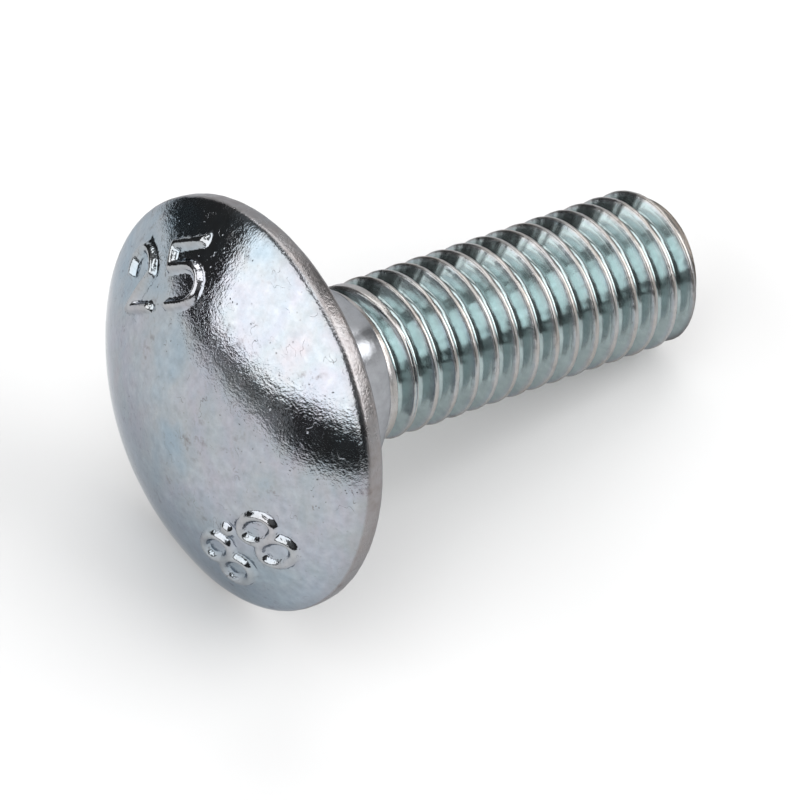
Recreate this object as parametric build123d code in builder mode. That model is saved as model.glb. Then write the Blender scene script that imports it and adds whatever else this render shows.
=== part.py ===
from build123d import *
import os
from math import asin, atan, cos, radians, sin, sqrt, tan

# Carriage bolt M8 x 25: one forged and rolled piece with a domed head, a square
# neck and a threaded shank. It lies at rest on a level surface, on the edge of
# its head and the last crest of its thread. The shank has the thread's outer
# diameter, and the fine thread itself is left off.

# ---- Head
head_diameter = 20.6
head_height = 4.88
rim_thickness = 1.25
front_rounding = 0.22
back_rounding = 0.4

# ---- Threaded shank
thread_diameter = 8.0
bolt_length = 25.1
tip_chamfer = 0.7

# ---- Square neck. Its flats stand a little proud of the thread.
neck_proud = 0.15
neck_corner_radius = 1.8
neck_length = 5.15
neck_end_slope = 30
neck_angle = 38

# ---- Raised figures on the dome: the strength class and the length
figure_height = 0.3
figure_stroke = 0.46
figure_depth = 0.6
figure_tall = 3.1
figure_wide = 2.6
figure_spacing = 3.7
class_point = 0.7
five_waist = 1.9
class_foot = 5.1
class_angle = 177
length_foot = 5.4
length_angle = 8

# ---- How far it has rolled as it lies
roll_angle = 50.4

# ---- Worked out from the above
head_radius = head_diameter / 2
thread_radius = thread_diameter / 2
tip_radius = thread_radius - tip_chamfer
dome_edge = head_radius - front_rounding
dome_height = head_height - rim_thickness
dome_radius = (dome_edge**2 + dome_height**2) / (2 * dome_height)
dome_centre = dome_radius - head_height
neck_flat = thread_radius + neck_proud
neck_corner = neck_flat * sqrt(2) - neck_corner_radius * (sqrt(2) - 1)
neck_corner_drop = (neck_corner - neck_flat) * tan(radians(neck_end_slope))


def resting_lean():
    """Slope of the axis, in radians, with the rim and the last crest on one plane."""
    span = bolt_length - tip_chamfer + back_rounding
    drop = head_radius - back_rounding - thread_radius
    return atan(drop / span) + asin(back_rounding / sqrt(span**2 + drop**2))


lean = resting_lean()
face_height = (head_radius - back_rounding) * cos(lean) + back_rounding * (1 - sin(lean))
front_reach = dome_radius - dome_centre * cos(lean)
tip_reach = bolt_length * cos(lean) + tip_radius * sin(lean)
face_place = (front_reach - tip_reach) / 2

# The bolt is made upright, with the face under its head on XY, its tip at the top
# and its thread axis on Z. Its angles are counted from X. FRONT faces out from
# the dome, and LYING is XY as it stands in the bolt once that lies at rest.
PROFILE = Plane.XZ
FRONT = Plane(origin=(0, 0, -head_height), x_dir=(0, 1, 0), z_dir=(0, 0, -1))
along = Vector(cos(lean), 0, -sin(lean))
uphill = Vector(sin(lean), 0, cos(lean))
LYING = Plane(
    origin=(face_place, 0, face_height),
    x_dir=uphill.rotate(Axis((0, 0, 0), along), -roll_angle),
    z_dir=along,
)


def turned(plane, angle):
    """The plane turned about its own normal, by an angle in degrees."""
    across = plane.x_dir * cos(radians(angle)) + plane.y_dir * sin(radians(angle))
    return Plane(origin=plane.origin, x_dir=across, z_dir=plane.z_dir)


def dome_point(radius, rise):
    """Point of a sphere that lies above the dome by rise, at a radius from the axis."""
    return (radius, dome_centre - sqrt((dome_radius + rise) ** 2 - radius**2))


def dome_cap(edge_radius, rise, depth):
    """Face with the dome's curve, raised by rise, down to a depth under the dome."""
    with BuildLine() as outline:
        ThreePointArc(
            dome_point(0, rise),
            dome_point(edge_radius / 2, rise),
            dome_point(edge_radius, rise),
        )
        Line(dome_point(edge_radius, rise), dome_point(edge_radius, -depth))
        ThreePointArc(
            dome_point(edge_radius, -depth),
            dome_point(edge_radius / 2, -depth),
            dome_point(0, -depth),
        )
        Line(dome_point(0, -depth), dome_point(0, rise))
    make_face(outline.edges())


# ---- Raised figures. Feet of the figures point at the middle of the dome.
def figure_eight(middle, foot):
    """Figure 8 of two closed loops, the upper one on top of the lower."""
    loop_tall = (figure_tall + figure_stroke) / 2
    loops = [(middle, foot + loop_tall / 2), (middle, foot + figure_tall - loop_tall / 2)]
    with Locations(*loops):
        Ellipse(figure_wide / 2, loop_tall / 2)
    with Locations(*loops):
        Ellipse(
            figure_wide / 2 - figure_stroke,
            loop_tall / 2 - figure_stroke,
            mode=Mode.SUBTRACT,
        )


def figure_two(middle, foot):
    """Figure 2: a bow, a slant and a foot."""
    left = middle - (figure_wide - figure_stroke) / 2
    right = middle + (figure_wide - figure_stroke) / 2
    low = foot + figure_stroke / 2
    high = foot + figure_tall - figure_stroke / 2
    bow = high - (right - left) / 2
    with BuildLine() as stroke:
        ThreePointArc((left, bow), (middle, high), (right, bow))
        Polyline((right, bow), (left, low), (right, low))
    trace(stroke.line, line_width=figure_stroke)


def figure_five(middle, foot):
    """Figure 5: a flag, a short upright and a bowl."""
    left = middle - (figure_wide - figure_stroke) / 2
    right = middle + (figure_wide - figure_stroke) / 2
    low = foot + figure_stroke / 2
    high = foot + figure_tall - figure_stroke / 2
    waist = foot + five_waist
    with BuildLine() as stroke:
        Polyline((right, high), (left, high), (left, waist), (middle, waist))
        ThreePointArc((middle, waist), (right, (low + waist) / 2), (middle, low))
        Line((middle, low), (left, low))
    trace(stroke.line, line_width=figure_stroke)


with BuildPart() as figures:
    with BuildSketch(turned(FRONT.offset(figure_height), -class_angle)):
        figure_eight(-figure_spacing / 2, class_foot)
        figure_eight(figure_spacing / 2, class_foot)
        with Locations((0, class_foot + class_point / 2)):
            Circle(class_point / 2)
    with BuildSketch(turned(FRONT.offset(figure_height), -length_angle)):
        figure_two(-figure_spacing / 2, length_foot)
        figure_five(figure_spacing / 2, length_foot)
    extrude(amount=-head_height)
    with BuildSketch(PROFILE):
        dome_cap(dome_edge, figure_height, figure_depth)
    revolve(axis=Axis.Z, mode=Mode.INTERSECT)

# ---- Square neck. A cone takes the corners off its end.
with BuildPart() as neck:
    with BuildSketch(turned(Plane.XY, neck_angle)):
        RectangleRounded(2 * neck_flat, 2 * neck_flat, neck_corner_radius)
    extrude(amount=neck_length)
    with BuildSketch(PROFILE):
        with BuildLine():
            Polyline(
                (0, 0),
                (neck_corner, 0),
                (neck_corner, neck_length - neck_corner_drop),
                (neck_flat, neck_length),
                (0, neck_length),
                close=True,
            )
        make_face()
    revolve(axis=Axis.Z, mode=Mode.INTERSECT)

# ---- The bolt: head and shank, with the neck and the figures, in one piece
with BuildPart() as bolt:
    with BuildSketch(PROFILE):
        with BuildLine():
            ThreePointArc(dome_point(0, 0), dome_point(dome_edge / 2, 0), dome_point(dome_edge, 0))
            Polyline(
                (dome_edge, -rim_thickness),
                (head_radius, -rim_thickness + front_rounding),
                (head_radius, -back_rounding),
            )
            RadiusArc(
                (head_radius, -back_rounding),
                (head_radius - back_rounding, 0),
                -back_rounding,
            )
            Polyline(
                (head_radius - back_rounding, 0),
                (thread_radius, 0),
                (thread_radius, bolt_length - tip_chamfer),
                (tip_radius, bolt_length),
                (0, bolt_length),
                (0, -head_height),
            )
        make_face()
    revolve(axis=Axis.Z)
    add(neck.part)
    add(figures.part)

# ---- The same bolt, laid down
with BuildPart(LYING) as carriage_bolt:
    add(bolt.part)

carriage_bolt.part.label = "carriage_bolt"
os.makedirs("parts", exist_ok=True)
export_step(carriage_bolt.part, "parts/carriage_bolt.step")
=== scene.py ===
"""Carriage bolt M8 x 25 with a domed head and a square neck, bright zinc plated.

The bolt lies at rest on a level surface, on the edge of its head and the last
crest of its thread. Its whole skin is one closed mesh, worked out from the sizes
below: places along the bolt are counted in millimetres from the face under the
head towards the tip, distances from its axis in millimetres, and turns about the
axis in radians.
"""

import logging
import math
from dataclasses import dataclass, field
from enum import Enum

import bpy
import numpy as np
from mathutils import Matrix, Vector


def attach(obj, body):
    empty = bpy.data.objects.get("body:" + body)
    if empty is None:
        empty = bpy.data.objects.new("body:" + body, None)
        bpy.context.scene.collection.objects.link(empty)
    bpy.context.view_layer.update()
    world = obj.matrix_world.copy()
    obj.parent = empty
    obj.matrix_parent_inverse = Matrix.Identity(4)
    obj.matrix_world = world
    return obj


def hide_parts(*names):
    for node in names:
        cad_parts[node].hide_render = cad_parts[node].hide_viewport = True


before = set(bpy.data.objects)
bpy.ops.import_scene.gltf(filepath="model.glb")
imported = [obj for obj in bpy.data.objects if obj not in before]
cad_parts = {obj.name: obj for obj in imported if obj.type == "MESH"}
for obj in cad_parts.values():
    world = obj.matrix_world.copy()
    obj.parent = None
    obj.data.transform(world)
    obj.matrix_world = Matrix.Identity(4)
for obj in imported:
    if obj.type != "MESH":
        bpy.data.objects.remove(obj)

MM = 0.001
TURN = 2.0 * math.pi
FAR = 9.0
MARKS = ("land", "groove", "rim", "ridge", "neck", "tip")
log = logging.getLogger("carriage_bolt")

Grid = np.ndarray
Socket = bpy.types.NodeSocket
Triple = tuple[float, float, float]


# ---- small helpers
def ease(value: Grid, start: float, end: float) -> Grid:
    """Rise from 0 at start to 1 at end with level ends.

    The formula is 3 t^2 - 2 t^3, where t is how far the value is on its way.

    Args:
        value: Numbers to place on the rise.
        start: Where the rise begins.
        end: Where the rise ends.

    Returns:
        Numbers from 0 to 1.
    """
    t = np.clip((value - start) / (end - start), 0.0, 1.0)
    return t * t * (3.0 - 2.0 * t)


def soft_floor(value: Grid, bend: float) -> Grid:
    """The larger of a value and 0, with a round bend between the two.

    The formula is half of the value plus the root of value^2 + bend^2.

    Args:
        value: Numbers to keep above 0.
        bend: How wide the bend is.

    Returns:
        Numbers above 0.
    """
    return 0.5 * (value + np.sqrt(value * value + bend * bend))


def ripple(place: Grid, rates: tuple[float, ...], seed: float) -> Grid:
    """Uneven wave between about -1 and 1: the mean of sines of unrelated rates.

    Args:
        place: Where the wave is read.
        rates: How many times each sine turns in one unit of place.
        seed: Shift of the sines against each other.

    Returns:
        Height of the wave.
    """
    phase = np.arange(len(rates)) * 2.4 + seed
    turns = TURN * np.multiply.outer(place, np.array(rates)) + phase
    return np.sin(turns).mean(axis=-1) * 1.6


# ---- skin of the bolt
@dataclass
class Patch:
    """Part of the skin: a grid of points with what the finish needs to know.

    Rows run along the bolt's outline from the middle of the dome to the middle of
    the tip, and columns run round the axis.
    """

    along: Grid
    radius: Grid
    angle: Grid
    land: Grid
    groove: Grid
    rim: Grid
    ridge: Grid
    neck: Grid
    tip: Grid

    @classmethod
    def plain(cls, along: Grid, radius: Grid, angle: Grid) -> "Patch":
        """A patch with nothing for the finish yet.

        Args:
            along: Places along the bolt, in millimetres.
            radius: Distances from the axis, in millimetres.
            angle: Turns about the axis, in radians.

        Returns:
            The patch, with its grids all of one shape.
        """
        along, radius, angle = np.broadcast_arrays(along, radius, angle)
        nothing = [np.zeros(along.shape) for _ in MARKS]
        return cls(along.copy(), radius.copy(), angle.copy(), *nothing)


def grid_quads(number: Grid) -> Grid:
    """Faces of a grid that closes round the axis, facing outwards.

    Args:
        number: Vertex numbers, a row of them for each row of the grid.

    Returns:
        Four vertex numbers for each face.
    """
    ahead = np.roll(number, -1, axis=1)
    faces = np.stack([number[:-1], ahead[:-1], ahead[1:], number[1:]], axis=-1)
    return faces.reshape(-1, 4)


def ring_strip(first: Grid, first_angle: Grid, second: Grid, second_angle: Grid) -> Grid:
    """Triangles between two rings whose points stand at different angles.

    The edges of both rings are taken in the order of their middle angles, and each
    makes a triangle with the point that the other ring has reached by then.

    Args:
        first: Vertex numbers of the ring that comes first along the outline.
        first_angle: Their angles, rising.
        second: Vertex numbers of the next ring.
        second_angle: Their angles, rising.

    Returns:
        Three vertex numbers for each face.
    """
    first_next, second_next = np.roll(first, -1), np.roll(second, -1)
    first_middle = (first_angle + np.append(first_angle[1:], first_angle[0] + TURN)) / 2
    second_middle = (second_angle + np.append(second_angle[1:], second_angle[0] + TURN)) / 2
    reached = np.searchsorted(second_middle, first_middle, side="left") % len(second)
    passed = np.searchsorted(first_middle, second_middle, side="right") % len(first)
    outer = np.stack([first, first_next, second[reached]], axis=-1)
    inner = np.stack([first[passed], second_next, second], axis=-1)
    return np.concatenate([outer, inner])


def closing_fan(ring: Grid, pole: int, pole_first: bool) -> Grid:
    """Triangles between a ring and the point at its middle.

    Args:
        ring: Vertex numbers of the ring.
        pole: Vertex number of the point.
        pole_first: Whether the outline starts at the point.

    Returns:
        Three vertex numbers for each face.
    """
    ahead = np.roll(ring, -1)
    middle = np.full_like(ring, pole)
    order = (middle, ahead, ring) if pole_first else (ring, ahead, middle)
    return np.stack(order, axis=-1)


# ---- raised figures
class Numeral(Enum):
    """Figures and marks that stand on the dome."""

    TWO = "2"
    FIVE = "5"
    EIGHT = "8"
    POINT = "."


@dataclass(frozen=True)
class FigureRow:
    """A row of raised figures whose feet point at the middle of the dome."""

    figures: tuple[tuple[Numeral, float], ...]
    turn_deg: float
    foot: float
    tall: float = 3.1
    wide: float = 2.6
    stroke: float = 0.46
    point: float = 0.7
    five_waist: float = 1.9

    def strokes(self) -> list[Grid]:
        """Middle lines of the strokes, each a row of points in the figures' plane.

        Returns:
            The lines of all figures in the row.
        """
        return [line for figure in self.figures for line in self._numeral(*figure)]

    def _numeral(self, numeral: Numeral, middle: float) -> list[Grid]:
        """Middle lines of one figure.

        Args:
            numeral: Which figure.
            middle: Where its middle is, across the row.

        Returns:
            A list of rows of points.
        """
        half = (self.wide - self.stroke) / 2
        left, right = middle - half, middle + half
        low, high = self.foot + self.stroke / 2, self.foot + self.tall - self.stroke / 2

        def arc(wide: float, tall: float, up: float, turn: Grid) -> Grid:
            """Part of an oval about the figure's middle.

            Args:
                wide: Half of its width.
                tall: Half of its height.
                up: Height of its middle.
                turn: Turns of its points about that middle.

            Returns:
                A row of points.
            """
            return np.stack([middle + wide * np.cos(turn), up + tall * np.sin(turn)], axis=1)

        if numeral is Numeral.EIGHT:
            loop = (self.tall + self.stroke) / 2
            turn = np.linspace(0.0, TURN, 49)
            centres = (self.foot + loop / 2, self.foot + self.tall - loop / 2)
            return [arc(half, (loop - self.stroke) / 2, centre, turn) for centre in centres]
        if numeral is Numeral.TWO:
            arch = arc(half, half, high - half, np.linspace(math.pi, 0.0, 25))
            return [np.concatenate([arch, [(left, low), (right, low)]])]
        if numeral is Numeral.FIVE:
            waist = self.foot + self.five_waist
            flag = np.array([(right, high), (left, high), (left, waist)])
            turn = np.linspace(math.pi / 2, -math.pi / 2, 25)
            bowl = arc(half, (waist - low) / 2, (low + waist) / 2, turn)
            return [np.concatenate([flag, bowl, [(left, low)]])]
        reach = (self.point - self.stroke) / 2
        return [arc(reach, reach, self.foot + self.point / 2, np.linspace(0.0, TURN, 13))]

    def distance(self, radius: Grid, angle: Grid) -> Grid:
        """How far points of the dome are from the strokes.

        The distance to each stretch of a stroke is measured square to it, or from
        its nearer end, and the least of them counts.

        Args:
            radius: Distances of the points from the bolt's axis.
            angle: Their turns about the axis.

        Returns:
            Distances in millimetres, FAR where no figure is near.
        """
        turn = angle - math.radians(self.turn_deg)
        across, up = radius * np.sin(turn), radius * np.cos(turn)
        least = np.full(across.shape, FAR)
        side = max(abs(middle) for _, middle in self.figures) + self.wide
        near = (np.abs(across) < side) & (up > self.foot - 1) & (up < self.foot + self.tall + 1)
        spot = np.stack([across[near], up[near]], axis=1)[:, None, :]
        best = np.full(len(spot), FAR)
        for line in self.strokes():
            start, step = line[:-1][None], np.diff(line, axis=0)[None]
            reach = np.maximum((step * step).sum(-1), 1e-9)
            part = np.clip(((spot - start) * step).sum(-1) / reach, 0.0, 1.0)
            gap = np.linalg.norm(spot - start - part[..., None] * step, axis=-1)
            best = np.minimum(best, gap.min(axis=1))
        least[near] = best
        return least


# ---- sub-assemblies
@dataclass
class DomedHead:
    """Domed head: a shallow ball face, a low rim and a flat underside."""

    diameter: float = 20.6
    height: float = 4.88
    rim_thickness: float = 1.25
    front_rounding: float = 0.22
    back_rounding: float = 0.4
    figure_height: float = 0.3
    ridge_reach: float = 0.26
    ridge_power: float = 0.7
    swell: float = 0.004
    bend_start: float = 10.02
    bend_end: float = -0.86
    rim_crown: float = 0.1
    rim_uneven: float = 0.012
    figure_rows: tuple[FigureRow, ...] = (
        FigureRow(
            figures=((Numeral.EIGHT, -1.85), (Numeral.POINT, 0.0), (Numeral.EIGHT, 1.85)),
            turn_deg=177.0,
            foot=5.1,
        ),
        FigureRow(figures=((Numeral.TWO, -1.85), (Numeral.FIVE, 1.85)), turn_deg=8.0, foot=5.4),
    )
    underside_reach: float = 6.4

    @property
    def radius(self) -> float:
        """Half of the diameter."""
        return self.diameter / 2

    @property
    def dome_edge(self) -> float:
        """Distance from the axis at which the dome ends."""
        return self.radius - self.front_rounding

    @property
    def dome_radius(self) -> float:
        """Radius of the ball that the dome is cut from."""
        rise = self.height - self.rim_thickness
        return (self.dome_edge**2 + rise**2) / (2 * rise)

    @property
    def dome_centre(self) -> float:
        """Place of the ball's middle along the bolt."""
        return self.dome_radius - self.height

    def columns(self) -> Grid:
        """Angles of the columns, close together at the figures and wider elsewhere."""
        fine, coarse, span = math.radians(0.72), math.radians(2.0), math.radians(33)
        spots = sorted(math.radians(row.turn_deg) % TURN for row in self.figure_rows)
        pieces = []
        for spot, following in zip(spots, [*spots[1:], spots[0] + TURN]):
            pieces.append(np.arange(spot - span, spot + span, fine))
            gap = following - spot - 2 * span
            count = max(2, round(gap / coarse))
            pieces.append(spot + span + gap * np.arange(count) / count)
        return np.sort(np.concatenate(pieces) % TURN)

    def build(self) -> Patch:
        """Rows of the head from the first ring of the dome to the underside.

        The dome lies on the ball, and a figure lifts it along the ball's own
        normal by height * (1 - (d / reach)^2)^power, where d is the distance to the
        middle of the stroke. A drawn-in curve joins the dome to the rim, and a
        quarter circle joins the slightly crowned rim to the underside.

        Returns:
            The head's patch.
        """
        turn = self.columns()[None, :]
        ball = np.concatenate(
            [np.linspace(0.3, 4.7, 14), np.linspace(4.85, 8.6, 44), np.linspace(8.8, 10.0, 8)]
        )[:, None]
        drop = np.sqrt(self.dome_radius**2 - ball**2)
        gap = np.full((len(ball), turn.shape[1]), FAR)
        for row in self.figure_rows:
            gap = np.minimum(gap, row.distance(ball + 0 * turn, turn + 0 * ball))
        rise = np.clip(1.0 - (gap / self.ridge_reach) ** 2, 0.0, 1.0) ** self.ridge_power
        swell = self.swell * ripple(ball * np.cos(turn), (0.17, 0.31), 0.4)
        swell = swell + self.swell * ripple(ball * np.sin(turn), (0.13, 0.27), 1.9)
        lift = self.figure_height * rise + swell * ease(10.0 - ball, 0, 2)
        grow = 1.0 + lift / self.dome_radius
        dome = Patch.plain(self.dome_centre - drop * grow, ball * grow, turn)
        dome.ridge[:] = rise
        dome.rim[:] = ease(ball + 0 * turn, 9.8, 10.05) * 0.2

        slope = self.dome_edge / math.sqrt(self.dome_radius**2 - self.dome_edge**2)
        depth = math.sqrt(self.dome_radius**2 - self.bend_start**2)
        start = (self.bend_start, self.dome_centre - depth)
        knee = (self.radius, start[1] + (self.radius - self.bend_start) * slope)
        bend = np.linspace(0.12, 1.0, 7)[:, None]
        weights = ((1 - bend) ** 2, 2 * bend * (1 - bend), bend**2)
        edge_radius, edge_along = (
            sum(weight * part for weight, part in zip(weights, parts))
            for parts in zip(start, knee, (self.radius, self.bend_end))
        )
        band = np.linspace(-0.8, -self.back_rounding, 6)[:, None]
        corner = np.linspace(0.15, 1.0, 7)[:, None] * math.pi / 2
        back = self.back_rounding
        rim_along = np.concatenate([edge_along, band, -back + back * np.sin(corner)])
        rim_radius = np.concatenate(
            [edge_radius, self.radius + 0 * band, self.radius - back + back * np.cos(corner)]
        )
        crown = self.rim_crown * np.clip((rim_along + 0.95) / 0.9, 0.0, 0.61) ** 2
        uneven = self.rim_uneven * ripple(turn, (1.27, 3.02, 7.0), 0.3)
        uneven = np.abs(uneven * ease(rim_along, -1.15, -0.9))
        rim = Patch.plain(rim_along, rim_radius - crown - uneven, turn)
        rim.rim[:] = 0.25 + 0.75 * ease(rim.along, -1.14, -0.98)

        flat = np.array([9.3, 8.0, self.underside_reach])[:, None]
        under = Patch.plain(0 * flat, flat, turn)
        under.rim[:] = 0.55
        return stack([dome, rim, under])


def stack(patches: list[Patch]) -> Patch:
    """Patches with the same columns, one after the other.

    Args:
        patches: The patches, in the order of the outline.

    Returns:
        One patch.
    """
    names = ("along", "radius", "angle", *MARKS)
    return Patch(*(np.concatenate([getattr(patch, name) for patch in patches]) for name in names))


@dataclass
class SquareNeck:
    """Square neck under the head, with round corners and its end turned to a cone."""

    flat: float = 4.15
    corner_radius: float = 1.8
    length: float = 5.15
    end_slope_deg: float = 30.0
    turn_deg: float = 38.0
    root_fillet: float = 0.28

    def outline(self, angle: Grid) -> Grid:
        """Distance of the neck's wall from the axis.

        On a flat it is flat / cos(t), where t is the angle from the middle of the
        flat. On a corner it is m (cos t + sin t) plus the root of
        m^2 (cos t + sin t)^2 - 2 m^2 + c^2, where c is the corner's radius and m
        is the flat less c.

        Args:
            angle: Turns about the axis.

        Returns:
            Distances in millimetres.
        """
        quarter = TURN / 4
        turn = np.abs((angle - math.radians(self.turn_deg) + quarter / 2) % quarter - quarter / 2)
        middle = self.flat - self.corner_radius
        both = np.cos(turn) + np.sin(turn)
        inside = np.maximum((middle * both) ** 2 - 2 * middle**2 + self.corner_radius**2, 0.0)
        corner = middle * both + np.sqrt(inside)
        return np.where(self.flat * np.tan(turn) <= middle, self.flat / np.cos(turn), corner)

    def build(self, angle: Grid) -> Patch:
        """Rows of the neck, from the fillet on the underside to its end.

        Args:
            angle: Turns of the columns about the axis.

        Returns:
            The neck's patch.
        """
        turn = angle[None, :]
        wall = self.outline(turn)
        slope = math.tan(math.radians(self.end_slope_deg))
        shoulder = self.length - (wall - self.flat) * slope
        arc = np.linspace(0.0, math.pi / 2, 6)[:, None]
        fillet = self.root_fillet
        foot = Patch.plain(
            fillet * (1 - np.cos(arc)) + 0 * turn, wall + fillet * (1 - np.sin(arc)), turn
        )
        part = np.array([0.2, 0.4, 0.6, 0.8, 1.0])[:, None]
        side = Patch.plain(fillet + (shoulder - 0.09 - fillet) * part, wall + 0 * part, turn)
        steps = np.array([0.02, 0.12, 0.5, 0.9])[:, None]
        cone_radius = wall + (self.flat - wall) * steps - 0.05 * (1 - steps) - 0.02
        cone = Patch.plain(shoulder + (self.length - shoulder) * steps, cone_radius, turn)
        neck = stack([foot, side, cone])
        neck.neck[:] = 1.0
        return neck


@dataclass
class RolledThread:
    """Rolled right-hand thread from the neck to the chamfered tip."""

    radius: float = 4.0
    pitch: float = 1.25
    depth: float = 0.74
    crest_half: float = 0.085
    crest_bend: float = 0.03
    root_bend: float = 0.13
    flank_deg: float = 30.0
    crest_start: float = 8.98
    run_in: float = 5.21
    length: float = 25.1
    tip_chamfer: float = 0.7
    tip_edge: float = 0.05
    tip_round: float = 0.06
    tip_dish: float = 0.14
    crest_wobble: float = 0.012
    crest_wear: float = 0.006
    seam_depth: float = 0.16
    shank_gap: float = 0.02
    columns_round: int = 180
    stations: tuple[float, ...] = (0.0, 0.045, 0.09, 0.14, 0.22, 0.32, 0.42, 0.53)

    def columns(self) -> Grid:
        """Angles of the columns, evenly spread."""
        return TURN * np.arange(self.columns_round) / self.columns_round

    def crest(self, along: Grid, angle: Grid, step: int) -> Grid:
        """Distance from the axis of the ridge of one turn of the thread.

        The ridge falls away from its land at the flank's angle, with a round bend.
        Its land is wide and smeared towards the head where the thread begins, and
        a seam lies in the middle of it where the crest has not closed.

        Args:
            along: Places along the bolt.
            angle: Turns about the axis.
            step: Which turn, counted from the nearest one.

        Returns:
            Distances in millimetres.
        """
        count = (along - self.crest_start) / self.pitch - angle / TURN
        number = np.round(count) + step
        off = self.pitch * (count - number)
        turns = number + angle / TURN
        wobble = ripple(turns, (2.3, 7.1, 17.3, 38.9), 0.7)
        young = 1.0 - ease(turns, -1.98, -1.68)
        smeared = 0.12 + 0.22 * ease(turns, -2.3, -2.1)
        headwards = self.crest_half + self.crest_wobble * wobble * (1 - young) + young * smeared
        tipwards = self.crest_half + 0.010 * ripple(turns, (3.1, 11.7, 29.3), 2.2)
        out = np.where(off < 0, -off - headwards, off - tipwards)
        fall = soft_floor(out / math.tan(math.radians(self.flank_deg)), self.crest_bend)
        open_seam = ease(turns, -1.79, -1.74) * (1 - ease(turns, -1.62, -1.45))
        seam = self.seam_depth * open_seam * np.exp(-((off / (0.035 + 0.02 * open_seam)) ** 2))
        wear = self.crest_wear * (1 + ripple(turns, (1.9, 5.3, 13.1, 31.7), 4.1))
        return self.radius - fall - (seam + wear) * (1 - young) - 0.03 * young

    def surface(self, along: Grid, angle: Grid) -> Grid:
        """Distance of the thread's skin from the axis.

        It is the highest of the three nearest ridges, joined by a round bend to
        the bottom of the groove, which rises to the plain shank at the neck. The
        chamfer of the tip cuts it off.

        Args:
            along: Places along the bolt.
            angle: Turns about the axis.

        Returns:
            Distances in millimetres.
        """
        ridge = np.maximum.reduce([self.crest(along, angle, step) for step in (-1, 0, 1)])
        fading = ease(along, self.run_in - 0.1, self.run_in + 1.0)
        bottom = self.radius - self.shank_gap - (self.depth - self.shank_gap) * fading
        skin = bottom + soft_floor(ridge - bottom, self.root_bend) - self.shank_gap * fading
        cone = self.radius - self.tip_chamfer + (self.length - along)
        return cone - soft_floor(cone - skin, 0.05)

    def build(self) -> tuple[Patch, Grid, Grid, Grid, Grid]:
        """Grid of the thread, whose rows climb with the thread itself.

        Each row goes up one pitch in a turn, so that crests and roots keep to
        their rows, and rows are held between the neck and the tip. Where they are
        held they fall together, and the faces there are left out.

        Returns:
            The patch, its quads, its triangles, and the vertex numbers of its
            first and last rings.
        """
        turn = self.columns()
        half = np.array(self.stations) / self.pitch
        shares = np.concatenate([half, [0.5], (1.0 - half[1:])[::-1]])
        per_turn, end = len(shares), self.length - self.tip_edge
        first = math.floor((self.run_in - self.crest_start) / self.pitch) - 1
        last = math.ceil((end - self.crest_start) / self.pitch) + 1
        place = (np.arange(first, last + 1)[:, None] + shares[None, :]).reshape(-1)
        free = self.crest_start + self.pitch * (place[:, None] + turn[None, :] / TURN)
        along = np.clip(free, self.run_in, end)
        angle = np.broadcast_to(turn, along.shape)
        skin = self.surface(along, angle)

        rows, columns = along.shape
        lowest = (free <= self.run_in).sum(axis=0) - 1
        highest = rows - (free >= end).sum(axis=0)
        held = np.clip(np.arange(rows)[:, None], lowest[None, :], highest[None, :])
        number = held * columns + np.arange(columns)[None, :]
        ahead = np.full((rows, columns), -1)
        ahead[:, :-1] = number[:, 1:]
        ahead[:-per_turn, -1] = number[per_turn:, 0]
        ahead[-per_turn:, -1] = number[-1, 0]
        corner = np.stack([number[:-1], ahead[:-1], ahead[1:], number[1:]], axis=-1).reshape(-1, 4)
        left_flat = corner[:, 0] == corner[:, 3]
        right_flat = corner[:, 1] == corner[:, 2]
        quads = corner[~left_flat & ~right_flat]
        on_left = corner[left_flat & ~right_flat][:, [0, 1, 2]]
        on_right = corner[right_flat & ~left_flat][:, [0, 1, 3]]
        triangles = np.concatenate([on_left, on_right])
        patch = Patch.plain(along, skin, angle)
        sunk = self.radius - skin
        chamfer = self.length - self.tip_chamfer
        on_tip = ease(along, chamfer - 0.15, chamfer + 0.1)
        patch.land[:] = (1.0 - ease(sunk, 0.06, 0.16)) * (1 - on_tip)
        patch.groove[:] = ease(sunk, 0.05, 0.25) * (1 - on_tip)
        patch.tip[:] = on_tip
        return patch, quads, triangles, number[0], number[-1]

    def build_end(self, ring_radius: Grid) -> Patch:
        """Rows of the tip's face: a small edge, then a shallow dish.

        The dish sinks by depth * (1 - (r / reach)^2) towards the axis.

        Args:
            ring_radius: Distances of the thread's last ring from the axis.

        Returns:
            The patch of the face.
        """
        turn = self.columns()[None, :]
        edge = ring_radius[None, :] - self.tip_round
        reach = 2.95
        inner = np.array([reach, 2.7, 2.2, 1.5, 0.8, 0.3])[:, None]
        along = self.length - self.tip_dish * (1 - (inner / reach) ** 2)
        face = stack(
            [
                Patch.plain(self.length - 0.012 + 0 * turn, edge, turn),
                Patch.plain(self.length + 0 * turn, edge - self.tip_round, turn),
                Patch.plain(along, inner, turn),
            ]
        )
        face.tip[:] = 1.0
        return face


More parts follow.
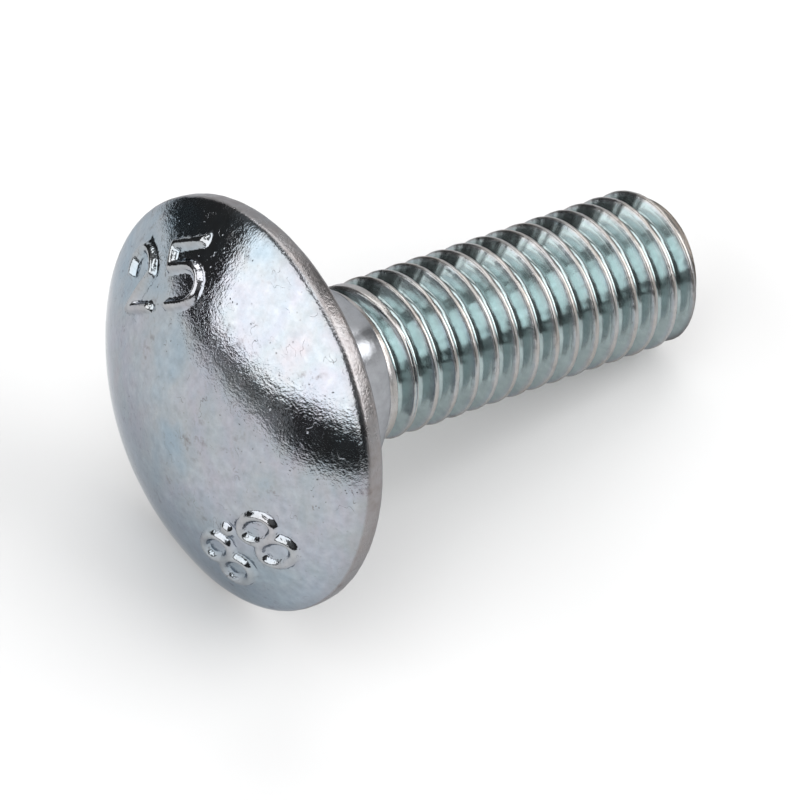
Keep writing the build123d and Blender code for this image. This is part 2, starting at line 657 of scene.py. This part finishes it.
# ---- how it lies
@dataclass(frozen=True)
class Repose:
    """Pose in which the bolt rests on its rim and its last crest."""

    lean: float
    roll: float
    face_place: float
    face_height: float

    @classmethod
    def of(cls, head: DomedHead, thread: RolledThread, roll_deg: float) -> "Repose":
        """Pose of a bolt whose rim and last crest touch one level surface.

        Args:
            head: The bolt's head.
            thread: Its thread.
            roll_deg: How far it has rolled about its own axis.

        Returns:
            The pose, with the bolt's box centred along its length.
        """
        back, tip_radius = head.back_rounding, thread.radius - thread.tip_chamfer
        span = thread.length - thread.tip_chamfer + back
        drop = head.radius - back - thread.radius
        lean = math.atan(drop / span) + math.asin(back / math.hypot(span, drop))
        height = (head.radius - back) * math.cos(lean) + back * (1 - math.sin(lean))
        front = head.dome_radius - head.dome_centre * math.cos(lean)
        tip = thread.length * math.cos(lean) + tip_radius * math.sin(lean)
        return cls(lean, math.radians(roll_deg), (front - tip) / 2, height)

    def directions(self) -> tuple[Grid, Grid, Grid]:
        """The bolt's axis towards its tip, its first column and a quarter turn on."""
        axis = np.array([math.cos(self.lean), 0.0, -math.sin(self.lean)])
        uphill = np.array([math.sin(self.lean), 0.0, math.cos(self.lean)])
        level = np.array([0.0, 1.0, 0.0])
        column = uphill * math.cos(self.roll) + level * math.sin(self.roll)
        return axis, column, np.cross(axis, column)

    def points(self, patch: Patch) -> Grid:
        """Points of a patch in the row's frame.

        Args:
            patch: Part of the skin.

        Returns:
            Three numbers a point, in metres.
        """
        axis, column, quarter = self.directions()
        face = np.array([self.face_place, 0.0, self.face_height])
        outward = np.cos(patch.angle)[..., None] * column + np.sin(patch.angle)[..., None] * quarter
        spots = face + patch.along[..., None] * axis + patch.radius[..., None] * outward
        return spots.reshape(-1, 3) * MM


# ---- node helpers
class NodeBoard:
    """Nodes of a material or of the world, added and joined in short calls."""

    def __init__(self, name: str, world: bool = False) -> None:
        """Make an empty material, or an empty world, with its output.

        Args:
            name: Name of the material or world.
            world: Whether it is a world.
        """
        self.material = (bpy.data.worlds if world else bpy.data.materials).new(name)
        self.material.use_nodes = True
        self.tree = self.material.node_tree
        self.tree.nodes.clear()
        self.output = self.add(f"ShaderNodeOutput{'World' if world else 'Material'}")

    def add(self, kind: str, **settings: object) -> bpy.types.Node:
        """Add a node.

        Args:
            kind: Blender's name of the node type.
            settings: Properties to set on it.

        Returns:
            The node.
        """
        node = self.tree.nodes.new(kind)
        for name, value in settings.items():
            setattr(node, name, value)
        return node

    def feed(self, socket: Socket, value: object) -> None:
        """Join an output to a socket, or set the socket's own value.

        Args:
            socket: Input to feed.
            value: Output socket, number or colour.
        """
        if isinstance(value, Socket):
            self.tree.links.new(value, socket)
        else:
            socket.default_value = value

    def maths(self, operation: str, first: object, *others: object) -> Socket:
        """Result of a sum on numbers, taken one after the other.

        Args:
            operation: Blender's name of the operation.
            first: First number or output.
            others: The numbers or outputs that follow.

        Returns:
            The result's output.
        """
        for other in others or (0.0,):
            node = self.add("ShaderNodeMath", operation=operation)
            self.feed(node.inputs[0], first)
            self.feed(node.inputs[1], other)
            first = node.outputs[0]
        return first

    def plus(self, *parts: object) -> Socket:
        """Sum of numbers or outputs."""
        return self.maths("ADD", *parts)

    def times(self, *parts: object) -> Socket:
        """Product of numbers or outputs."""
        return self.maths("MULTIPLY", *parts)

    def most(self, *parts: object) -> Socket:
        """Largest of numbers or outputs."""
        return self.maths("MAXIMUM", *parts)

    def between(
        self, value: object, low: float, high: float, to_low: float, to_high: float
    ) -> Socket:
        """A number carried from one span to another and held at its ends.

        Args:
            value: Number or output.
            low: Start of the span it comes from.
            high: End of that span.
            to_low: Start of the span it goes to.
            to_high: End of that span.

        Returns:
            The result's output.
        """
        node = self.add("ShaderNodeMapRange", clamp=True)
        for socket, number in zip(node.inputs, (value, low, high, to_low, to_high)):
            self.feed(socket, number)
        return node.outputs[0]

    def blend(self, share: object, first: object, second: object, kind: str = "MIX") -> Socket:
        """Two colours mixed.

        Args:
            share: How much of the second.
            first: First colour.
            second: Second colour.
            kind: Blender's name of the way to mix.

        Returns:
            The mixed colour's output.
        """
        node = self.add("ShaderNodeMix", data_type="RGBA", blend_type=kind)
        self.feed(node.inputs["Factor"], share)
        self.feed(node.inputs[6], first)
        self.feed(node.inputs[7], second)
        return node.outputs[2]

    def place(self, stretch: Triple = (1, 1, 1), turn: Triple = (0, 0, 0)) -> Socket:
        """The object's own coordinates, stretched and turned.

        Args:
            stretch: Scale along each axis.
            turn: Turn about each axis, in radians.

        Returns:
            The coordinates' output.
        """
        coordinates = self.add("ShaderNodeTexCoord")
        mapping = self.add("ShaderNodeMapping")
        self.feed(mapping.inputs["Vector"], coordinates.outputs["Object"])
        self.feed(mapping.inputs["Scale"], stretch)
        self.feed(mapping.inputs["Rotation"], turn)
        return mapping.outputs[0]

    def noise(self, size: float, detail: float, where: Socket, rough: float = 0.5) -> Socket:
        """Cloudy noise.

        Args:
            size: Width of its largest features, in millimetres.
            detail: How many finer layers it has.
            where: Coordinates that it is read at.
            rough: How strong the finer layers are.

        Returns:
            The noise's output, from 0 to 1.
        """
        node = self.add("ShaderNodeTexNoise", noise_dimensions="3D")
        self.feed(node.inputs["Vector"], where)
        self.feed(node.inputs["Scale"], 1.0 / (size * MM))
        self.feed(node.inputs["Detail"], detail)
        self.feed(node.inputs["Roughness"], rough)
        return node.outputs["Fac"]

    def dots(self, size: float, width: float, share: float, where: Socket) -> Socket:
        """Scattered round dots.

        Args:
            size: Distance between their places, in millimetres.
            width: Radius of a dot as a share of that distance.
            share: Share of the places that have one.
            where: Coordinates that they are read at.

        Returns:
            The dots' output, 1 at their middles and 0 between them.
        """
        node = self.add("ShaderNodeTexVoronoi", feature="F1")
        self.feed(node.inputs["Vector"], where)
        self.feed(node.inputs["Scale"], 1.0 / (size * MM))
        dot = self.between(node.outputs["Distance"], 0.0, width, 1.0, 0.0)
        pick = self.add("ShaderNodeSeparateColor")
        self.feed(pick.inputs[0], node.outputs["Color"])
        return self.times(dot, self.maths("LESS_THAN", pick.outputs[0], share))

    def attribute(self, name: str) -> Socket:
        """A number that the mesh carries.

        Args:
            name: Name of the attribute.

        Returns:
            Its output.
        """
        return self.add("ShaderNodeAttribute", attribute_name=name).outputs["Fac"]

    def single(self, kind: str, socket: str, value: object) -> bpy.types.Material:
        """Make one shader the whole of the material.

        Args:
            kind: Blender's name of the shader's node.
            socket: Name of the shader's input.
            value: Number, colour or output that it gets.

        Returns:
            The material.
        """
        shader = self.add(kind)
        self.feed(shader.inputs[socket], value)
        self.feed(self.output.inputs["Surface"], shader.outputs[0])
        return self.material


# ---- finishes
@dataclass(frozen=True)
class ZincPlate:
    """Bright zinc plate with a blue passivation, thin and worn on edges."""

    blue: Triple = (0.315, 0.405, 0.475)
    grey: Triple = (0.400, 0.425, 0.445)
    lilac: Triple = (0.420, 0.420, 0.465)
    rose: Triple = (0.485, 0.410, 0.435)
    flank: Triple = (0.362, 0.434, 0.438)
    worn: Triple = (0.420, 0.395, 0.370)
    neck: Triple = (0.360, 0.370, 0.390)
    rim: Triple = (0.285, 0.266, 0.262)
    tip: Triple = (0.150, 0.135, 0.122)
    soil: Triple = (0.080, 0.050, 0.042)
    edge: Triple = (0.680, 0.695, 0.725)
    smooth: float = 0.05
    grain: float = 0.26
    land_rough: float = 0.22
    groove_rough: float = 0.13
    neck_rough: float = 0.27
    relief: float = 0.009

    def material(self) -> bpy.types.Material:
        """The finish as a material that reads the mesh's own attributes.

        Returns:
            The material.
        """
        board = NodeBoard("zinc_plate")
        here = board.place()
        marks = {name: board.attribute(name) for name in MARKS}
        coarse = board.most(marks["rim"], marks["tip"])
        patches = board.noise(2.2, 4.0, here, 0.6)
        mottle = board.noise(0.5, 3.0, here, 0.6)
        drawn = board.place(stretch=(3.2, 1.6, 0.45), turn=(0.2, 0.25, 0.0))
        streak = board.noise(1.3, 4.0, drawn, 0.6)
        specks = board.dots(0.36, 0.17, 0.45, here)
        spots = board.dots(1.7, 0.06, 0.35, here)
        hairs = self._hairs(board, here)

        blotches = board.between(patches, 0.48, 0.66, 0.0, 1.0)
        smears = board.times(blotches, board.between(mottle, 0.5, 0.68, 0.0, 1.0))
        dirt = board.most(*(
            board.times(part, share)
            for part, share in ((specks, 0.42), (spots, 0.85), (smears, 0.6), (hairs, 0.55))
        ))
        grime = board.times(coarse, board.between(mottle, 0.42, 0.72, 0.0, 0.35))
        open_face = board.maths("SUBTRACT", 1.0, board.most(marks["groove"], marks["neck"]))
        dirt = board.times(board.most(dirt, grime), board.between(open_face, 0.0, 1.0, 0.35, 1.0))

        rough = board.plus(
            board.between(coarse, 0.0, 1.0, self.smooth, self.grain),
            board.between(streak, 0.3, 0.8, -0.01, 0.07),
            board.times(dirt, 0.25),
            board.times(marks["land"], self.land_rough),
            board.times(marks["groove"], self.groove_rough),
            board.times(marks["neck"], self.neck_rough),
        )
        fine = board.noise(0.14, 2.0, here, 0.6)
        height = board.plus(
            board.times(fine, board.between(coarse, 0.0, 1.0, 1.0, 2.4)),
            board.times(mottle, 1.1),
            board.times(streak, 0.8),
            board.times(board.most(specks, spots), -1.2),
            board.times(hairs, -0.5),
        )
        bump = board.add("ShaderNodeBump")
        board.feed(bump.inputs["Strength"], 1.0)
        board.feed(bump.inputs["Distance"], self.relief * MM)
        calm = board.between(marks["groove"], 0.0, 1.0, 1.0, 0.06)
        board.feed(bump.inputs["Height"], board.times(height, calm))

        shader = board.add("ShaderNodeBsdfPrincipled")
        colour = self._colour(board, marks, patches, streak, mottle)
        board.feed(shader.inputs["Base Color"], board.blend(dirt, colour, (*self.soil, 1)))
        board.feed(shader.inputs["Metallic"], 1.0)
        board.feed(shader.inputs["Specular Tint"], (*self.edge, 1))
        board.feed(shader.inputs["Roughness"], rough)
        board.feed(shader.inputs["Normal"], bump.outputs["Normal"])
        board.feed(board.output.inputs["Surface"], shader.outputs["BSDF"])
        return board.material

    def _colour(
        self,
        board: NodeBoard,
        marks: dict[str, Socket],
        patches: Socket,
        streak: Socket,
        mottle: Socket,
    ) -> Socket:
        """Tints of the open faces, a painted shade that turns the faces near the table bluer and
        darker, then each part's own tone over them.

        Args:
            board: The material's nodes.
            marks: The mesh's own numbers, by name.
            patches: Noise of broad patches.
            streak: Noise of drawn-out streaks.
            mottle: Noise of small mottles.

        Returns:
            The clean metal's colour.
        """
        # Height above the table, read for the painted shade near the table.
        low = board.add("ShaderNodeSeparateXYZ")
        here = board.place()
        board.feed(low.inputs[0], here)
        layers = (
            (board.between(streak, 0.35, 0.75, 0.0, 0.4), self.blue),
            # Painted shade: faces lower than 10 mm over the table take up to 0.8 of the darker blue
            # tone, for the dim floor that they mirror.
            (board.between(low.outputs["Z"], 1.0 * MM, 10.0 * MM, 0.8, 0.0), self.blue),
            (marks["neck"], self.neck),
            (marks["groove"], self.flank),
            (board.times(marks["land"], board.between(patches, 0.3, 0.6, 0.55, 1.0)), self.worn),
            (board.times(marks["ridge"], 0.4), self.worn),
            (board.times(marks["rim"], board.between(patches, 0.3, 0.7, 0.7, 1.0)), self.rim),
            (marks["tip"], self.tip),
        )
        colour = self._tint(board, board.noise(7.0, 3.0, here, 0.55))
        for share, tone in layers:
            colour = board.blend(share, colour, (*tone, 1))
        return board.blend(1.0, colour, board.between(mottle, 0.3, 0.7, 0.86, 1.1), "MULTIPLY")

    def _tint(self, board: NodeBoard, cloud: Socket) -> Socket:
        """Cloudy tints of the passivation, from blue over grey and lilac to rose.

        Args:
            board: The material's nodes.
            cloud: Noise that picks the tint.

        Returns:
            The colour's output.
        """
        tint = board.add("ShaderNodeValToRGB")
        tones = (self.blue, self.grey, self.lilac, self.grey, self.rose)
        places = (0.32, 0.45, 0.55, 0.62, 0.78)
        while len(tint.color_ramp.elements) < len(places):
            tint.color_ramp.elements.new(0.5)
        for element, spot, tone in zip(tint.color_ramp.elements, places, tones):
            element.position, element.color = spot, (*tone, 1.0)
        board.feed(tint.inputs["Fac"], cloud)
        return tint.outputs["Color"]

    def _hairs(self, board: NodeBoard, here: Socket) -> Socket:
        """Short thin scratches: where a noise crosses its middle, kept in patches.

        Args:
            board: The material's nodes.
            here: Coordinates that they are read at.

        Returns:
            The scratches' output, 1 on a scratch.
        """
        slanted = board.place(stretch=(2.0, 1.0, 0.7), turn=(0.5, 0.1, 0.3))
        wander = board.noise(1.1, 2.0, slanted, 0.5)
        off = board.maths("ABSOLUTE", board.maths("SUBTRACT", wander, 0.5))
        line = board.between(off, 0.0, 0.006, 1.0, 0.0)
        keep = board.between(board.noise(0.9, 2.0, here, 0.5), 0.56, 0.62, 0.0, 1.0)
        return board.times(line, keep)


@dataclass(frozen=True)
class PaleTable:
    """Plain pale matt surface that the bolt lies on."""

    albedo: Triple = (0.62, 0.62, 0.62)
    lift: float = 0.17

    def material(self) -> bpy.types.Material:
        """A matt pale grey, lifted where it is seen or mirrored.

        Returns:
            The material.
        """
        board = NodeBoard("pale_table")
        matt = board.add("ShaderNodeBsdfDiffuse")
        board.feed(matt.inputs["Color"], (*self.albedo, 1))
        path = board.add("ShaderNodeLightPath")
        rays = ("Is Camera Ray", "Is Glossy Ray", "Is Transmission Ray")
        seen = board.most(*(path.outputs[ray] for ray in rays))
        glow = board.add("ShaderNodeEmission")
        board.feed(glow.inputs["Strength"], board.times(seen, self.lift))
        both = board.add("ShaderNodeAddShader")
        board.feed(both.inputs[0], matt.outputs[0])
        board.feed(both.inputs[1], glow.outputs[0])
        board.feed(board.output.inputs["Surface"], both.outputs[0])
        return board.material


# ---- the bolt
@dataclass
class CarriageBolt:
    """The whole bolt: head, neck and thread in one closed skin."""

    head: DomedHead = field(default_factory=DomedHead)
    neck: SquareNeck = field(default_factory=SquareNeck)
    thread: RolledThread = field(default_factory=RolledThread)
    plate: ZincPlate = field(default_factory=ZincPlate)
    roll_deg: float = 50.4

    def build(self) -> bpy.types.Object:
        """Work out the skin and make it a mesh.

        Returns:
            The bolt's object, at the origin and with its place in its mesh.
        """
        pose = Repose.of(self.head, self.thread, self.roll_deg)
        head = self.head.build()
        neck = self.neck.build(self.thread.columns())
        thread, thread_quads, thread_triangles, first_ring, last_ring = self.thread.build()
        end = self.thread.build_end(thread.radius.reshape(-1)[last_ring])
        centre = Patch.plain(np.array([[-self.head.height]]), np.array([[0.0]]), np.array([[0.0]]))
        dish = self.thread.length - self.thread.tip_dish
        middle = Patch.plain(np.array([[dish]]), np.array([[0.0]]), np.array([[0.0]]))
        middle.tip[:] = 1.0

        patches = [centre, head, neck, thread, end, middle]
        starts = np.cumsum([0] + [patch.along.size for patch in patches])
        numbers = [
            np.arange(patch.along.size).reshape(patch.along.shape) + start
            for patch, start in zip(patches, starts)
        ]
        head_at, neck_at, end_at = numbers[1], numbers[2], numbers[4]
        first_ring, last_ring = first_ring + starts[3], last_ring + starts[3]
        quads = [
            grid_quads(head_at),
            grid_quads(np.vstack([neck_at, first_ring[None]])),
            thread_quads + starts[3],
            grid_quads(np.vstack([last_ring[None], end_at])),
        ]
        triangles = [
            closing_fan(head_at[0], int(starts[0]), True),
            ring_strip(head_at[-1], head.angle[-1], neck_at[0], neck.angle[0]),
            thread_triangles + starts[3],
            closing_fan(end_at[-1], int(starts[5]), False),
        ]
        spots = np.concatenate([pose.points(patch) for patch in patches])
        marks = {
            name: np.concatenate([getattr(patch, name).reshape(-1) for patch in patches])
            for name in MARKS
        }
        return self._mesh(spots, np.concatenate(quads), np.concatenate(triangles), marks)

    def _mesh(
        self, spots: Grid, quads: Grid, triangles: Grid, marks: dict[str, Grid]
    ) -> bpy.types.Object:
        """Put points and faces into a mesh, without the points that no face uses.

        Args:
            spots: Points in metres.
            quads: Faces of four corners.
            triangles: Faces of three corners.
            marks: Numbers for the finish, one for each point.

        Returns:
            The object.
        """
        every = np.concatenate([quads.reshape(-1), triangles.reshape(-1)])
        used, corners = np.unique(every, return_inverse=True)
        corners = corners.reshape(-1)
        sides = np.concatenate([np.full(len(quads), 4), np.full(len(triangles), 3)])
        mesh = bpy.data.meshes.new("carriage_bolt_skin")
        mesh.vertices.add(len(used))
        mesh.vertices.foreach_set("co", spots[used].astype(np.float32).reshape(-1))
        mesh.loops.add(len(corners))
        mesh.loops.foreach_set("vertex_index", corners.astype(np.int32))
        mesh.polygons.add(len(sides))
        mesh.polygons.foreach_set("loop_start", (np.cumsum(sides) - sides).astype(np.int32))
        mesh.update(calc_edges=True)
        mesh.validate()
        mesh.polygons.foreach_set("use_smooth", np.ones(len(mesh.polygons), dtype=bool))
        for name, values in marks.items():
            layer = mesh.attributes.new(name, "FLOAT", "POINT")
            layer.data.foreach_set("value", values[used].astype(np.float32))
        mesh.update()
        skin = bpy.data.objects.new("carriage_bolt_skin", mesh)
        bpy.context.scene.collection.objects.link(skin)
        return skin

    def dress(self, skin: bpy.types.Object) -> None:
        """Give the skin its finish and tie it to the frame.

        Args:
            skin: The bolt's object.
        """
        skin.data.materials.append(self.plate.material())
        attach(skin, "root")
        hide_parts("carriage_bolt")


# ---- studio
def staged_face(
    name: str, spots: list[tuple[float, ...]], material: bpy.types.Material
) -> bpy.types.Object:
    """One flat face of the studio, which is no part of the bolt.

    Args:
        name: Name of the object and its mesh.
        spots: Its corners in metres, in order.
        material: What it is made of.

    Returns:
        The object.
    """
    mesh = bpy.data.meshes.new(name)
    mesh.from_pydata(spots, [], [list(range(len(spots)))])
    mesh.materials.append(material)
    face = bpy.data.objects.new(name, mesh)
    bpy.context.scene.collection.objects.link(face)
    return face


@dataclass(frozen=True)
class LightPanel:
    """Flat soft light that faces the bolt, given by the directions of its corners.

    A direction is an azimuth, counted from -Y towards +X, and an elevation.
    """

    name: str
    corners: tuple[tuple[float, float], ...]
    glow: float
    distance: float = 1.4

    def build(self) -> bpy.types.Object:
        """Make the panel's face and its glow.

        Returns:
            The panel's object.
        """
        azimuth, elevation = np.radians(np.array(self.corners)).T
        spots = self.distance * np.stack(
            [
                np.sin(azimuth) * np.cos(elevation),
                -np.cos(azimuth) * np.cos(elevation),
                np.sin(elevation),
            ],
            axis=1,
        )
        lamp = NodeBoard(self.name).single("ShaderNodeEmission", "Strength", self.glow)
        return staged_face(self.name, spots.tolist(), lamp)


@dataclass(frozen=True)
class DarkReflection:
    """Painted dark reflection: a dark sheet on the table outside the view, there only for the metal
    to mirror.
    """

    name: str
    corners: tuple[tuple[float, float], ...]
    tone: Triple = (0.03, 0.03, 0.03)
    lift: float = 0.0002

    def build(self) -> bpy.types.Object:
        """Make the sheet's face, a painted dark reflection that only reflections in the metal show.

        Returns:
            The cloth's object.
        """
        matt = NodeBoard(self.name).single("ShaderNodeBsdfDiffuse", "Color", (*self.tone, 1))
        spots = [(*corner, self.lift) for corner in self.corners]
        reflection_sheet = staged_face(self.name, spots, matt)
        # Painted dark reflection: only glossy rays see the sheet, so it darkens the metal's
        # reflections and nothing else.
        reflection_sheet.visible_camera = False
        reflection_sheet.visible_diffuse = False
        reflection_sheet.visible_shadow = False
        return reflection_sheet


@dataclass
class Studio:
    """Table, soft light panels, painted dark reflections and the dim room round them."""

    table: PaleTable = field(default_factory=PaleTable)
    table_half: float = 12.0
    room_glow: float = 0.22
    low_glow: float = 0.05
    panels: tuple[LightPanel, ...] = (
        LightPanel(
            "left_panel",
            (
                *((-126, 7.5), (-96, 12.5), (-52, 15.5), (-52, 52)),
                *((-100, 55), (-158, 47), (-141, 29), (-132.5, 18.5)),
            ),
            2.15,
        ),
        LightPanel("right_panel", ((18, 13), (80, 17), (80, 60), (16, 60)), 3.9),
        LightPanel("back_panel", ((116, 31), (167, 29), (170, 58), (103, 58)), 3.0),
        LightPanel("back_card", ((112, 0.5), (160, 0.5), (160, 22), (114, 26)), 0.85),
        LightPanel("haze_card", ((-124, 0.3), (-84, 0.3), (-84, 7.5), (-122, 5.5)), 0.3),
        LightPanel(
            "top_panel", ((0, 66), (60, 66), (120, 66), (180, 66), (-120, 66), (-60, 66)), 2.4
        ),
    )
    # Dark sheets that only the metal mirrors: painted dark reflections.
    dark_reflections: tuple[DarkReflection, ...] = (
        DarkReflection(
            "left_dark_reflection",
            ((-0.133, -0.080), (-0.149, -0.061), (-0.220, -0.035), (-3.0, 0.35), (-3.0, -2.2)),
        ),
        DarkReflection(
            "back_dark_reflection",
            (
                *((-0.023, 0.074), (0.012, 0.070), (0.30, 3.0)),
                *((-2.2, 2.0), (-0.051, 0.119), (-0.035, 0.098)),
            ),
        ),
    )

    def build(self) -> list[bpy.types.Object]:
        """Make the table, the panels, the painted dark reflections and the room.

        Returns:
            The staged objects.
        """
        half = self.table_half
        spots = [(-half, -half, 0), (half, -half, 0), (half, half, 0), (-half, half, 0)]
        table = staged_face("table", spots, self.table.material())
        self._room()
        return [table, *(part.build() for part in (*self.panels, *self.dark_reflections))]

    def _room(self) -> None:
        """Dim room, darker near the table's level, and white where the camera sees it."""
        board = NodeBoard("room", world=True)
        split = board.add("ShaderNodeSeparateXYZ")
        board.feed(split.inputs[0], board.add("ShaderNodeTexCoord").outputs["Generated"])
        glow = board.between(split.outputs["Z"], 0.35, 0.62, self.low_glow, self.room_glow)
        seen = board.add("ShaderNodeLightPath").outputs["Is Camera Ray"]
        mix = board.add("ShaderNodeMix")
        for socket, value in zip((0, 2, 3), (seen, glow, 1.0)):
            board.feed(mix.inputs[socket], value)
        room = board.single("ShaderNodeBackground", "Strength", mix.outputs[0])
        bpy.context.scene.world = room


@dataclass(frozen=True)
class Viewpoint:
    """Camera from before and above the dome."""

    spot: Triple = (-0.152232, -0.205678, 0.298890)
    right: Triple = (0.807948, -0.589248, 0.002729)
    up: Triple = (0.444222, 0.612126, 0.654193)
    lens: float = 360.0
    sensor: float = 36.0
    nearest: float = 0.01
    farthest: float = 50.0

    def build(self) -> bpy.types.Object:
        """Make the camera and give it to the scene.

        Returns:
            The camera.
        """
        data = bpy.data.cameras.new("camera")
        data.lens, data.sensor_width = self.lens, self.sensor
        data.clip_start, data.clip_end = self.nearest, self.farthest
        camera = bpy.data.objects.new("camera", data)
        right, up = Vector(self.right).normalized(), Vector(self.up).normalized()
        back = right.cross(up).normalized()
        turn = Matrix((right, back.cross(right), back)).transposed().to_4x4()
        camera.matrix_world = Matrix.Translation(self.spot) @ turn
        bpy.context.scene.collection.objects.link(camera)
        bpy.context.scene.camera = camera
        return camera


# ---- everything
def main() -> None:
    """Build the camera, the bolt and the studio."""
    logging.basicConfig(level=logging.INFO, format="%(name)s: %(message)s")
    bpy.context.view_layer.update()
    camera = Viewpoint().build()
    log.info("camera at %s", tuple(round(value, 4) for value in camera.location))
    bolt = CarriageBolt()
    skin = bolt.build()
    log.info("skin of %d points and %d faces", len(skin.data.vertices), len(skin.data.polygons))
    bolt.dress(skin)
    for staged in Studio().build():
        log.info("staged %s", staged.name)
    bpy.context.scene.view_settings.view_transform = "Standard"


if __name__ == "__main__":
    main()
